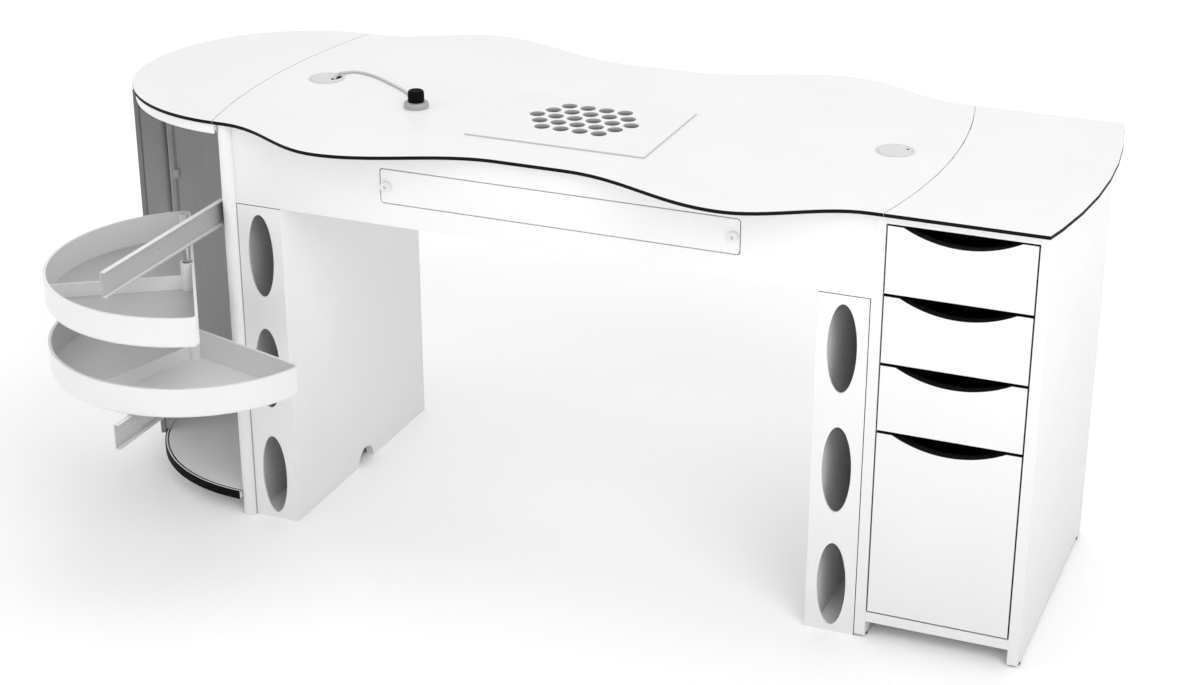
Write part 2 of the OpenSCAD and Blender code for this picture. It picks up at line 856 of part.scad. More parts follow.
control_knob();
control_cord();
floor_glides();
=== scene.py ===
"""Salon table with a wave-edged worktop, an extractor, a drawer cabinet and swing-out trays."""
import json
from math import hypot, pi, radians

import bpy
from bpy.props import FloatProperty, FloatVectorProperty, IntProperty, PointerProperty
from bpy.types import Operator, Panel, PropertyGroup
from mathutils import Euler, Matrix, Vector

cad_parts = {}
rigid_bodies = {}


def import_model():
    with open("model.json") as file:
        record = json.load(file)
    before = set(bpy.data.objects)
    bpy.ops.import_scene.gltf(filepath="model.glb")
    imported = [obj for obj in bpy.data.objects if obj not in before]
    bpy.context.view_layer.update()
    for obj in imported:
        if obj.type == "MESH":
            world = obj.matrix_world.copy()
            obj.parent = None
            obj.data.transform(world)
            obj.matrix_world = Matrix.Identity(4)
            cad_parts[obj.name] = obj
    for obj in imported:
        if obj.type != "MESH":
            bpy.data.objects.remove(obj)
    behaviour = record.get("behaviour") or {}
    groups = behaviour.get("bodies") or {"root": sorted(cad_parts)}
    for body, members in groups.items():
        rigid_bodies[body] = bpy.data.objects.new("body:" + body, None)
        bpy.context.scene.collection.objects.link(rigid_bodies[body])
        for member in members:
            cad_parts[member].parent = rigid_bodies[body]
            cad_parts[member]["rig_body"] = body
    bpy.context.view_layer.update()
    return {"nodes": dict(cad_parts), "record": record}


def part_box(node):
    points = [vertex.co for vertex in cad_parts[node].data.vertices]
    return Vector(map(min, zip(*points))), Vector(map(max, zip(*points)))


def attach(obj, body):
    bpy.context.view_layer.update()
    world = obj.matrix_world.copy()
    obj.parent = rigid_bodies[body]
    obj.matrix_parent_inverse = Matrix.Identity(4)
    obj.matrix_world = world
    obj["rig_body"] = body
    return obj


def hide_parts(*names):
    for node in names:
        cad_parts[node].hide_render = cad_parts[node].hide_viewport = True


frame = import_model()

bl_info = {
    "name": "Salon table",
    "version": (1, 0, 0),
    "blender": (4, 5, 0),
    "location": "View3D > Sidebar > Table",
    "description": "Builds the finished pieces of a salon table around its packed frame",
    "category": "Object",
}

SLOT_OF = {part["node"]: part["material_slot"] for part in frame["record"]["subparts"]}
TOP_LOW, TOP_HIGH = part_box("worktop_centre")
MID_Y = (TOP_LOW.y + TOP_HIGH.y) / 2
DESK_Z = TOP_HIGH.z
MERGE_GAP = 0.000004  # points nearer than this are one
FLAT_ANGLE = radians(0.25)  # faces that meet flatter than this are one
SMOOTH_ANGLE = radians(35.0)
SKIN = 0.0002  # keeps a cut just off a board's own face
MADE = {}


# ---- settings ------------------------------------------------------------

def colour(name, description, default):
    """A colour setting."""
    return FloatVectorProperty(
        name=name, description=description, default=default,
        subtype="COLOR", size=3, min=0.0, max=1.0,
    )


def length(name, description, default):
    """A length setting in metres."""
    return FloatProperty(
        name=name, description=description, default=default, unit="LENGTH", subtype="DISTANCE",
        precision=5, min=0.0,
    )


class StageSettings(PropertyGroup):
    """Floor, light and camera."""
    lens: FloatProperty(
        name="Lens", description="Focal length on a 36 mm sensor", default=68.59, unit="CAMERA",
    )
    camera_tilt: FloatProperty(
        name="Tilt", description="How far the camera looks down", default=radians(23.718),
        subtype="ANGLE", unit="ROTATION",
    )
    camera_turn: FloatProperty(
        name="Turn", description="How far the camera stands round to the right",
        default=radians(22.314), subtype="ANGLE", unit="ROTATION",
    )
    camera_place: FloatVectorProperty(
        name="Place", description="Where the camera stands", default=(1.4215, -3.3229, 1.9671),
        subtype="TRANSLATION", unit="LENGTH",
    )
    floor_size: length("Floor", "Width of the floor", 60.0)
    floor_colour: colour("Floor colour", "Pale floor", (0.97, 0.97, 0.97))


class BoardSettings(PropertyGroup):
    """Coated boards and the laminate worktop."""
    board_edge: length("Board edge", "Radius of a board's edging", 0.0004)
    board_colour: colour("Boards", "White coated boards", (0.86, 0.86, 0.855))
    skin_colour: colour("Worktop skin", "White face of the worktop", (0.78, 0.78, 0.775))
    plate_colour: colour("Plate edge", "Cut edge of the grille plate, near its top", (0.6, 0.6, 0.6))
    plate_glint: colour("Plate edge's glints", "Lighter specks in the plate's cut edge", (0.64, 0.64, 0.64))
    # painted shade: the plate's edge darkens low down in its holes
    plate_shade: colour("Plate edge's foot", "Cut edge of the grille plate, low down", (0.16, 0.16, 0.16))
    # the worktop's own black core, and painted shade in the round cabinet's groove
    core_and_groove_shade_colour: colour("Worktop core", "Black core that shows at the edge", (0.003, 0.003, 0.003))
    # painted shade: black on the edges seen in the gaps, the drawers' scoops and the ports' slots
    gap_shade_colour: colour("Edging", "Black edging of the drawer fronts", (0.012, 0.0105, 0.01))
    # painted shade: greyer faces inside the hollow legs
    inside_painted_light: colour("Leg linings", "Dark inner faces of the hollow legs", (0.76, 0.76, 0.76))
    top_edge: length("Worktop edge", "Radius of the worktop's edge", 0.0004)


class PlasticSettings(PropertyGroup):
    """Moulded plastics and lacquers."""
    tray_colour: colour("Trays", "White moulded trays", (0.77, 0.77, 0.77))
    trim_colour: colour("Caps", "Light grey caps and bases", (0.6, 0.6, 0.6))
    # painted shade: the upper tray's lit floor is darker than the rest of the tray's inside
    floor_colour: colour("Tray floors", "Light grey floor of the upper tray", (0.44, 0.44, 0.44))
    # painted light: the tray's shaded inner walls and lower floor are lighter
    inside_painted_light: colour("Tray insides", "Light grey inner walls and lower floor", (0.72, 0.72, 0.72))
    handle_colour: colour("Handle", "Dark grey handle strip of the shutter", (0.2, 0.2, 0.205))
    puck_colour: colour("Control's base", "Mid grey base of the hand control", (0.36, 0.36, 0.36))
    black_colour: colour("Black parts", "Black moulded parts", (0.003, 0.003, 0.0033))
    sheet_colour: colour("Shutter", "Grey sheet of the round front", (0.72, 0.72, 0.725))
    # painted shade: the darker half of the back wall's strip
    strip_shade_colour: colour("Strips", "Darker grey strips", (0.5, 0.5, 0.505))
    # painted shade: the extractor's case is near black, standing in for the shade seen through the grille's
    # holes
    case_shade_colour: colour("Extractor case", "Black lacquered sheet", (0.03, 0.03, 0.032))
    box_colour: colour("Drawer boxes", "Black drawer boxes", (0.012, 0.012, 0.014))
    # partly painted shade: the carbon filter is near black, also for the shade seen through the holes
    filter_shade_colour: colour("Filter", "Pleated carbon filter", (0.03, 0.03, 0.032))
    moulded_edge: length("Moulded edge", "Radius of a moulded part's edges", 0.0011)
    tray_foot: length("Tray foot", "Radius of a tray's lower outer edge", 0.0075)


class MetalSettings(PropertyGroup):
    """Zinc-plated, lacquered and ground steel."""
    zinc_colour: colour("Zinc", "Zinc-plated steel", (0.62, 0.62, 0.63))
    steel_colour: colour("Steel", "Ground steel", (0.55, 0.55, 0.56))
    rail_colour: colour("Rails", "Light grey lacquered rails", (0.4, 0.4, 0.4))
    # painted light: the rails' upper faces are lighter, where the light falls on them
    flange_painted_light: colour("Flanges", "Upper faces of the rails, bare of lacquer", (0.74, 0.74, 0.74))
    sheet_edge: length("Metal edge", "Radius of a folded sheet's edges", 0.0004)


class ControlSettings(PropertyGroup):
    """Hand control and its cord."""
    cord_thickness: length("Cord", "Diameter of the cord", 0.0046)
    cord_colour: colour("Cord colour", "Light grey sheath", (0.5, 0.5, 0.5))
    knob_sides: IntProperty(name="Knob sides", description="Sides of the round parts", default=72, min=24)


SETTINGS = {
    "salon_stage": StageSettings,
    "salon_boards": BoardSettings,
    "salon_plastics": PlasticSettings,
    "salon_metals": MetalSettings,
    "salon_control": ControlSettings,
}


def settings(name):
    """One of the scene's setting groups."""
    return getattr(bpy.context.scene, name)


# ---- materials -----------------------------------------------------------

class Finish:
    """A Principled material under construction, with patterns on Object coordinates."""

    def __init__(self, name, base, roughness, **sockets):
        self.material = bpy.data.materials.new(name)
        self.material.use_nodes = True
        self.tree = self.material.node_tree
        self.shader = self.tree.nodes["Principled BSDF"]
        self.base = (*base, 1.0)
        self.shader.inputs["Base Color"].default_value = self.base
        self.shader.inputs["Roughness"].default_value = roughness
        for socket, value in sockets.items():
            self.shader.inputs[socket.replace("_", " ")].default_value = value
        self.place = self.tree.nodes.new("ShaderNodeTexCoord").outputs["Object"]

    def node(self, kind, **values):
        """A new node with some of its inputs and properties set."""
        made = self.tree.nodes.new(kind)
        for name, value in values.items():
            if name in made.inputs:
                made.inputs[name].default_value = value
            else:
                setattr(made, name, value)
        return made

    def link(self, source, target):
        self.tree.links.new(source, target)

    def stretched(self, scale):
        """Object coordinates, scaled along each axis."""
        mapping = self.node("ShaderNodeMapping", Scale=scale)
        self.link(self.place, mapping.inputs["Vector"])
        return mapping.outputs["Vector"]

    def noise(self, scale, detail=3.0, place=None):
        """A noise pattern's value."""
        made = self.node("ShaderNodeTexNoise", Scale=scale, Detail=detail)
        self.link(place or self.place, made.inputs["Vector"])
        return made.outputs["Fac"]

    def ranged(self, value, low, high, start=0.3, end=0.7):
        """A pattern's value brought from start..end to low..high."""
        made = self.node("ShaderNodeMapRange")
        for socket, number in (("From Min", start), ("From Max", end), ("To Min", low), ("To Max", high)):
            made.inputs[socket].default_value = number
        self.link(value, made.inputs["Value"])
        return made.outputs["Result"]

    def mixed(self, factor, first, second):
        """A colour between two, by a factor. Each is a colour or an output."""
        made = self.node("ShaderNodeMix", data_type="RGBA")
        self.link(factor, made.inputs["Factor"])
        for socket, value in ((made.inputs[6], first), (made.inputs[7], second)):
            if isinstance(value, bpy.types.NodeSocket):
                self.link(value, socket)
            else:
                socket.default_value = value
        return made.outputs[2]

    def tinted(self, value, low, high):
        """The base colour, darker and lighter along a pattern."""
        shades = [tuple(min(1.0, part * k) for part in self.base[:3]) + (1.0,) for k in (low, high)]
        return self.mixed(self.ranged(value, 0.0, 1.0), *shades)

    def colour_by(self, output):
        self.link(output, self.shader.inputs["Base Color"])

    def rough_by(self, value, low, high):
        self.link(self.ranged(value, low, high), self.shader.inputs["Roughness"])

    def bumps(self, *layers):
        """Stacked bumps. Each layer is a pattern's value, its strength and its height."""
        normal = None
        for value, strength, height in layers:
            bump = self.node("ShaderNodeBump", Strength=strength, Distance=height)
            self.link(value, bump.inputs["Height"])
            if normal:
                self.link(normal, bump.inputs["Normal"])
            normal = bump.outputs["Normal"]
        self.link(normal, self.shader.inputs["Normal"])

    def height(self):
        """Height above the floor."""
        split = self.node("ShaderNodeSeparateXYZ")
        self.link(self.place, split.inputs["Vector"])
        return split.outputs["Z"]


def board_finish():
    """White melamine: finely pearled, with faint handling marks, and painted shade that greys its lower part.
    """
    finish = Finish("white_melamine", settings("salon_boards").board_colour, 0.42)
    clouds, smears, pearl = finish.noise(7.0), finish.noise(26.0, 5.0), finish.noise(2600.0, 2.0)
    # painted shade: the colour darkens towards the floor
    rise = finish.ranged(finish.height(), 0.0, 1.0, 0.0, 0.62)
    low_tone, high_tone = finish.tinted(clouds, 0.83, 0.85), finish.tinted(clouds, 0.985, 1.01)
    finish.colour_by(finish.mixed(rise, low_tone, high_tone))
    finish.rough_by(smears, 0.36, 0.5)
    finish.bumps((pearl, 0.22, 0.00006), (finish.noise(90.0), 0.05, 0.0002))
    return finish.material


def laminate_finish():
    """The worktop's white face: satin, with a very fine grain."""
    finish = Finish("laminate_face", settings("salon_boards").skin_colour, 0.36)
    clouds, smears, grain = finish.noise(5.0), finish.noise(19.0, 6.0), finish.noise(3000.0, 2.0)
    finish.colour_by(finish.tinted(clouds, 0.985, 1.01))
    finish.rough_by(smears, 0.32, 0.44)
    finish.bumps((grain, 0.18, 0.00005))
    return finish.material


def core_finish(name, base):
    """Pressed black core in fine layers; the same black is painted shade in gaps, slots and the round
    cabinet's groove.
    """
    finish = Finish(name, base, 0.6, Specular_IOR_Level=0.12)
    layers = finish.noise(1.0, 3.0, finish.stretched((60.0, 60.0, 2600.0)))
    finish.colour_by(finish.tinted(layers, 0.6, 1.6))
    finish.rough_by(layers, 0.55, 0.7)
    finish.bumps((layers, 0.1, 0.00004))
    return finish.material


def plate_edge_finish():
    """Edge of the clear-cored plate: grey near the top face, with painted shade making it darker further
    down.
    """
    boards = settings("salon_boards")
    finish = Finish("plate_edge", boards.plate_colour, 0.5, Specular_IOR_Level=0.2)
    low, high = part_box("dust_grille")
    # painted shade: darker towards the plate's underside
    shade = finish.ranged(finish.height(), 0.0, 1.0, low.z + 0.0005, high.z)
    cut = finish.mixed(finish.noise(900.0), (*boards.plate_colour, 1.0), (*boards.plate_glint, 1.0))
    finish.colour_by(finish.mixed(shade, (*boards.plate_shade, 1.0), cut))
    finish.rough_by(finish.noise(400.0), 0.45, 0.6)
    return finish.material


def hollow_shade_finish():
    """Painted shade inside the hollow legs: a greyer colour, with pressed fibres in its texture."""
    finish = Finish("leg_hollow_shade", settings("salon_boards").inside_painted_light, 0.85, Specular_IOR_Level=0.15)
    fibres = finish.noise(420.0, 6.0)
    finish.colour_by(finish.tinted(fibres, 0.9, 1.08))
    finish.rough_by(fibres, 0.8, 0.95)
    finish.bumps((fibres, 0.3, 0.0001))
    return finish.material


def plastic_finish(name, base, roughness, grain=1800.0, strength=0.2, spread=0.03, coat=0.0, shine=0.5):
    """Moulded plastic with a fine eroded grain and slow flow marks in its tone."""
    finish = Finish(name, base, roughness, Coat_Weight=coat, Coat_Roughness=0.18, Specular_IOR_Level=shine)
    finish.colour_by(finish.tinted(finish.noise(12.0, 4.0), 1.0 - spread, 1.0 + spread))
    finish.rough_by(finish.noise(34.0, 5.0), max(0.05, roughness - 0.06), roughness + 0.07)
    finish.bumps((finish.noise(grain, 3.0), strength, 0.00006))
    return finish.material


def sheet_finish():
    """Grey sheet drawn lengthwise, with a fine upright grain."""
    finish = Finish("grey_sheet", settings("salon_plastics").sheet_colour, 0.5)
    grain = finish.noise(1.0, 4.0, finish.stretched((900.0, 900.0, 14.0)))
    finish.colour_by(finish.tinted(finish.noise(1.0, 5.0, finish.stretched((160.0, 160.0, 3.0))), 0.97, 1.02))
    finish.rough_by(grain, 0.42, 0.6)
    finish.bumps((grain, 0.25, 0.0001))
    return finish.material


def zinc_finish():
    """Zinc-plated sheet: faint spangles, rolling lines along its length and dull spots."""
    finish = Finish("zinc_plate", settings("salon_metals").zinc_colour, 0.4, Metallic=0.85)
    spangle = finish.node("ShaderNodeTexVoronoi", Scale=210.0)
    finish.link(finish.place, spangle.inputs["Vector"])
    lines = finish.noise(1.0, 4.0, finish.stretched((1400.0, 16.0, 1400.0)))
    finish.colour_by(finish.tinted(spangle.outputs["Distance"], 0.95, 1.04))
    finish.rough_by(finish.noise(45.0, 6.0), 0.32, 0.5)
    finish.bumps((lines, 0.12, 0.00006), (spangle.outputs["Distance"], 0.04, 0.00008))
    return finish.material


def bar_finish():
    """Ground round bar: fine rings round its length."""
    finish = Finish("ground_steel", settings("salon_metals").steel_colour, 0.3, Metallic=1.0)
    rings = finish.noise(1.0, 3.0, finish.stretched((20.0, 20.0, 3200.0)))
    finish.colour_by(finish.tinted(finish.noise(60.0), 0.94, 1.04))
    finish.rough_by(rings, 0.24, 0.4)
    finish.bumps((rings, 0.15, 0.00004))
    return finish.material


def fleece_finish():
    """Pleated carbon fleece, near black, its black partly painted shade under the grille's holes: pressed
    fibres.
    """
    finish = Finish("filter_fleece", settings("salon_plastics").filter_shade_colour, 0.9, Sheen_Weight=0.1)
    fibres = finish.noise(1.0, 8.0, finish.stretched((700.0, 1900.0, 700.0)))
    finish.colour_by(finish.tinted(fibres, 0.86, 1.05))
    finish.rough_by(fibres, 0.82, 0.98)
    finish.bumps((fibres, 0.5, 0.0002))
    return finish.material


def floor_finish():
    """Plain pale floor that fades into white far from the object."""
    finish = Finish("pale_floor", settings("salon_stage").floor_colour, 0.6, Emission_Color=(1, 1, 1, 1))
    reach = finish.node("ShaderNodeVectorMath", operation="LENGTH")
    finish.link(finish.place, reach.inputs[0])
    fade = finish.ranged(reach.outputs["Value"], 0.0, 0.3, 1.3, 3.2)
    finish.link(fade, finish.shader.inputs["Emission Strength"])
    finish.colour_by(finish.tinted(finish.noise(0.8), 0.995, 1.005))
    finish.rough_by(finish.noise(3.0), 0.55, 0.65)
    return finish.material


def material(name):
    """A finish by name, made the first time it is asked for."""
    if name in MADE:
        return MADE[name]
    plastics = settings("salon_plastics")
    makers = {
        "white_melamine": board_finish,
        "laminate_face": laminate_finish,
        "black_core_and_groove_shade": lambda: core_finish("black_core_and_groove_shade", settings("salon_boards").core_and_groove_shade_colour),
        "black_gap_shade": lambda: core_finish("black_gap_shade", settings("salon_boards").gap_shade_colour),
        "plate_edge": plate_edge_finish,
        "leg_hollow_shade": hollow_shade_finish,
        "grey_sheet": sheet_finish,
        "zinc_plate": zinc_finish,
        "ground_steel": bar_finish,
        "filter_fleece": fleece_finish,
        "pale_floor": floor_finish,
        "white_acrylic": lambda: plastic_finish(
            "white_acrylic", settings("salon_boards").skin_colour, 0.3, 2400.0, 0.05, 0.008, 0.1),
        "white_moulding": lambda: plastic_finish(
            "white_moulding", plastics.tray_colour, 0.36, 2600.0, 0.06, 0.008, 0.1),
        "tray_floor_painted_shade": lambda: plastic_finish(
            "tray_floor_painted_shade", plastics.floor_colour, 0.5, 2600.0, 0.06, 0.012, 0.0, 0.3),
        "tray_inside_painted_light": lambda: plastic_finish(
            "tray_inside_painted_light", plastics.inside_painted_light, 0.5, 2600.0, 0.06, 0.012, 0.0, 0.3),
        "grey_moulding": lambda: plastic_finish("grey_moulding", plastics.trim_colour, 0.45),
        "puck_moulding": lambda: plastic_finish("puck_moulding", plastics.puck_colour, 0.45),
        "black_moulding": lambda: plastic_finish(
            "black_moulding", plastics.black_colour, 0.6, 1500.0, 0.35, 0.15, 0.0, 0.06),
        "strip_painted_shade": lambda: plastic_finish("strip_painted_shade", plastics.strip_shade_colour, 0.5, 1500.0, 0.3, 0.05),
        "handle_strip": lambda: plastic_finish(
            "handle_strip", plastics.handle_colour, 0.5, 1500.0, 0.3, 0.05),
        "rail_paint": lambda: plastic_finish(
            "rail_paint", settings("salon_metals").rail_colour, 0.4, 1200.0, 0.15, 0.02, 0.1),
        "rail_top_painted_light": lambda: plastic_finish(
            "rail_top_painted_light", settings("salon_metals").flange_painted_light, 0.4, 1200.0, 0.15, 0.02, 0.1),
        "case_black_shade": lambda: plastic_finish(
            "case_black_shade", plastics.case_shade_colour, 0.45, 700.0, 0.3, 0.08),
        "black_lacquer": lambda: plastic_finish(
            "black_lacquer", plastics.box_colour, 0.38, 900.0, 0.25, 0.12, 0.1),
        "cord_sheath": lambda: plastic_finish(
            "cord_sheath", settings("salon_control").cord_colour, 0.55, 2200.0, 0.3, 0.03),
    }
    MADE[name] = makers[name]()
    return MADE[name]


# ---- making pieces -------------------------------------------------------

def only(piece):
    """Selects one object and nothing else."""
    bpy.ops.object.select_all(action="DESELECT")
    piece.select_set(True)
    bpy.context.view_layer.objects.active = piece


def set_in_place(piece):
    """Leaves the object at the origin with its place in its mesh."""
    only(piece)
    bpy.ops.object.transform_apply(location=True, rotation=True, scale=True)
    return piece


def soften(piece, edge, angle=28.0, segments=3):
    """Rounds the sharp edges and shades the rest by angle."""
    only(piece)
    if edge > 0.0:
        bevel = piece.modifiers.new("edges", "BEVEL")
        bevel.width = edge
        bevel.segments = segments
        bevel.limit_method = "ANGLE"
        bevel.angle_limit = radians(angle)
        bevel.use_clamp_overlap = True
        bpy.ops.object.modifier_apply(modifier=bevel.name)
    bpy.ops.object.shade_smooth_by_angle(angle=SMOOTH_ANGLE)
    flatten = piece.modifiers.new("flat_faces", "WEIGHTED_NORMAL")
    flatten.keep_sharp = True
    bpy.ops.object.modifier_apply(modifier=flatten.name)
    return piece


def settle(piece, finish, body, slot, *nodes):
    """Gives a piece its finish and its body, and hides the nodes that it stands for."""
    piece.data.materials.clear()
    piece.data.materials.append(material(finish))
    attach(piece, body)
    if nodes:
        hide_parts(*nodes)
    return piece


def dress(node, finish):
    """Keeps a node's own shape and gives it a finish."""
    mesh = frame["nodes"][node].data
    mesh.materials.clear()
    mesh.materials.append(material(finish))


def clean_copy(node, name):
    """A merged copy of a node's mesh, with its flat faces whole."""
    piece = bpy.data.objects.new(name, frame["nodes"][node].data.copy())
    bpy.context.scene.collection.objects.link(piece)
    only(piece)
    bpy.ops.mesh.customdata_custom_splitnormals_clear()
    bpy.ops.object.mode_set(mode="EDIT")
    bpy.ops.mesh.select_all(action="SELECT")
    bpy.ops.mesh.remove_doubles(threshold=MERGE_GAP)
    bpy.ops.mesh.dissolve_limited(angle_limit=FLAT_ANGLE)
    bpy.ops.object.mode_set(mode="OBJECT")
    return piece


def finished(node, finish, edge, angle=28.0, segments=3):
    """A node's shape with its edges rounded, in its node's place."""
    piece = soften(clean_copy(node, node + "_piece"), edge, angle, segments)
    return settle(piece, finish, frame["nodes"][node]["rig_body"], SLOT_OF[node], node)


def paint(piece, finish, test):
    """Gives the faces that pass a test of their centre and normal another finish."""
    mesh = piece.data
    mesh.materials.append(material(finish))
    for face in mesh.polygons:
        if test(face.center, face.normal):
            face.material_index = len(mesh.materials) - 1
    return piece


def split(piece, *planes):
    """Cuts the faces along planes, each (point on the plane, its normal)."""
    only(piece)
    bpy.ops.object.mode_set(mode="EDIT")
    for point, normal in planes:
        bpy.ops.mesh.select_all(action="SELECT")
        bpy.ops.mesh.bisect(plane_co=point, plane_no=normal)
    bpy.ops.object.mode_set(mode="OBJECT")
    return piece


def shade_hollow(piece, leg, facing):
    """Paints shade on the part of a neighbouring board that closes a leg's hollow."""
    front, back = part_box(leg + "_front")[1].y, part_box(leg + "_back")[1].y
    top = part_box(leg + "_side")[1].z
    split(
        piece, ((0, front, 0), (0, 1, 0)), ((0, back - SKIN, 0), (0, 1, 0)),
        ((0, 0, top - SKIN), (0, 0, 1)),
    )
    return paint(
        piece, "leg_hollow_shade",
        lambda centre, normal: normal.x * facing > 0.98 and front < centre.y < back and centre.z < top,
    )


def upright(centre, normal):
    """True for the faces that aren't level."""
    return abs(normal.z) < 0.95


def turned(name, centre, rings, sides):
    """A round piece: a disc extruded and resized from ring to ring, each (radius, height)."""
    first_radius, first_height = rings[0]
    bpy.ops.object.select_all(action="DESELECT")
    bpy.ops.mesh.primitive_circle_add(
        vertices=sides, radius=first_radius, fill_type="NGON",
        location=centre + Vector((0, 0, first_height)),
    )
    piece = bpy.context.object
    piece.name = name
    bpy.ops.object.mode_set(mode="EDIT")
    bpy.ops.mesh.select_all(action="SELECT")
    for (radius, height), (next_radius, next_height) in zip(rings, rings[1:]):
        rise = (0, 0, next_height - height)
        bpy.ops.mesh.extrude_region_move(TRANSFORM_OT_translate={"value": rise})
        grow = next_radius / radius
        bpy.ops.transform.resize(
            value=(grow, grow, 1), center_override=centre + Vector((0, 0, next_height)),
        )
    bpy.ops.mesh.select_all(action="SELECT")
    bpy.ops.mesh.normals_make_consistent(inside=False)
    bpy.ops.object.mode_set(mode="OBJECT")
    return set_in_place(piece)


# ---- operators -----------------------------------------------------------

class SALON_OT_stage(Operator):
    """Make the camera, the soft lights and the pale floor"""
    bl_idname = "salon.stage"
    bl_label = "Stage"

    LIGHTS = (
        ("key_light", (3.1, -3.0, 3.6), (0.0, 0.0, 0.4), 3.2, 95.0),
        ("fill_light", (-3.4, -3.0, 2.6), (-0.2, 0.0, 0.4), 3.5, 32.0),
        ("top_light", (0.0, 1.2, 4.2), (0.0, 0.1, 0.5), 4.0, 50.0),
    )

    SENSOR = 36.0
    SIGHT = 200.0  # how far the camera sees
    SKY = 0.72  # strength of the even light from all round

    def execute(self, context):
        stage = settings("salon_stage")
        data = bpy.data.cameras.new("camera")
        data.lens = stage.lens
        data.sensor_width = self.SENSOR
        data.clip_end = self.SIGHT
        camera = bpy.data.objects.new("camera", data)
        camera.location = stage.camera_place
        camera.rotation_euler = Euler((pi / 2 - stage.camera_tilt, 0.0, stage.camera_turn))
        context.scene.collection.objects.link(camera)
        context.scene.camera = camera
        for name, place, target, size, power in self.LIGHTS:
            lamp = bpy.data.lights.new(name, "AREA")
            lamp.shape = "DISK"
            lamp.size = size
            lamp.energy = power
            light = bpy.data.objects.new(name, lamp)
            light.location = place
            light.rotation_euler = (Vector(target) - Vector(place)).to_track_quat("-Z", "Y").to_euler()
            context.scene.collection.objects.link(light)
        world = bpy.data.worlds.new("studio")
        world.use_nodes = True
        sky = world.node_tree.nodes["Background"]
        sky.inputs["Color"].default_value = (1.0, 1.0, 1.0, 1.0)
        sky.inputs["Strength"].default_value = self.SKY
        context.scene.world = world
        context.scene.view_settings.view_transform = "Standard"
        bpy.ops.object.select_all(action="DESELECT")
        bpy.ops.mesh.primitive_plane_add(size=stage.floor_size, location=(0, 0, 0))
        floor = context.object
        floor.name = "floor"
        floor.data.materials.append(material("pale_floor"))
        return {"FINISHED"}


class SALON_OT_cord(Operator):
    """Make the hand control's cord, from its socket through the port and along the worktop"""
    bl_idname = "salon.cord"
    bl_label = "Cord"

    # Millimetres: X, Y from the worktop's centre line, Z. The cord's centre line
    ROUTE = (
        (-508, -6, 731), (-508, -5, 737), (-508, -4, 743), (-508, -2, 749),
        (-508, 2, 755), (-508, 7, 759), (-508, 14, 761), (-508, 22, 761),
        (-507, 30, 759.6), (-505, 38, 757.8), (-501, 45, 757.4), (-495, 49, 757.4),
        (-487, 50.5, 757.4), (-477, 49, 757.4), (-466, 46, 757.4), (-454, 42, 757.4),
        (-441, 36, 757.4), (-427, 28, 757.4), (-412, 18.5, 757.4), (-397, 8.5, 757.4),
        (-382, -1.5, 757.4), (-367, -12, 757.4), (-353, -23.5, 757.4), (-341, -35.5, 757.8),
        (-330, -48.5, 758.8), (-321, -60.5, 759.6), (-314.3, -69.6, 760),
    )

    def execute(self, context):
        points = [Vector((x, y, z)) / 1000 + Vector((0, MID_Y, 0)) for x, y, z in self.ROUTE]
        data = bpy.data.curves.new("control_cord_sheath", "CURVE")
        data.dimensions = "3D"
        data.resolution_u = 6
        data.bevel_depth = settings("salon_control").cord_thickness / 2
        data.bevel_resolution = 5
        data.use_fill_caps = True
        spline = data.splines.new("BEZIER")
        spline.bezier_points.add(len(points) - 1)
        for knot, point in zip(spline.bezier_points, points):
            knot.co = point
            knot.handle_left_type = knot.handle_right_type = "AUTO"
        cord = bpy.data.objects.new("control_cord_sheath", data)
        context.scene.collection.objects.link(cord)
        settle(cord, "cord_sheath", "frame", "cord_sheath", "control_cord")
        settings("salon_control").cord_thickness
        return {"FINISHED"}


class SALON_OT_worktop(Operator):
    """Finish the three parts of the laminate worktop"""
    bl_idname = "salon.worktop"
    bl_label = "Worktop"

    SIDEWAYS = 0.7  # how far a wall faces along the worktop to count as a seam's
    SEAM_FROM = 0.55  # the seams lie further out than this

    def at_seam(self, part, centre, normal):
        """True for the walls of the two curved seams, which are filled white."""
        if part == "centre":
            return abs(normal.x) > self.SIDEWAYS and abs(centre.x) > self.SEAM_FROM
        return normal.x * (1 if part == "left" else -1) > self.SIDEWAYS

    def execute(self, context):
        edge = settings("salon_boards").top_edge
        for part in ("left", "centre", "right"):
            piece = finished("worktop_" + part, "laminate_face", edge, 50.0, 2)
            paint(
                piece, "black_core_and_groove_shade",
                lambda centre, normal: upright(centre, normal) and not self.at_seam(part, centre, normal),
            )
        return {"FINISHED"}


class SALON_OT_grille(Operator):
    """Finish the loose grille plate"""
    bl_idname = "salon.grille"
    bl_label = "Grille"

    def execute(self, context):
        paint(finished("dust_grille", "white_acrylic", 0.0), "plate_edge", upright)
        return {"FINISHED"}


class SALON_OT_ports(Operator):
    """Finish the cable ports' liners and caps"""
    bl_idname = "salon.ports"
    bl_label = "Cable ports"

    EDGE = 0.0004
    RIM = 0.001  # faces further in than this belong to the slot

    def execute(self, context):
        finished("port_liners", "grey_moulding", self.EDGE, 40.0, 2)
        for side in ("left", "right"):
            cap = finished("port_cap_" + side, "grey_moulding", self.EDGE, 40.0, 2)
            low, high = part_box("port_cap_" + side)
            middle, reach = ((low + high) / 2).xy, (high.y - low.y) / 2 - self.RIM
            # painted shade: the slot's walls are black
            paint(
                cap, "black_gap_shade",
                lambda centre, normal: upright(centre, normal) and (centre.xy - middle).length < reach,
            )
        return {"FINISHED"}


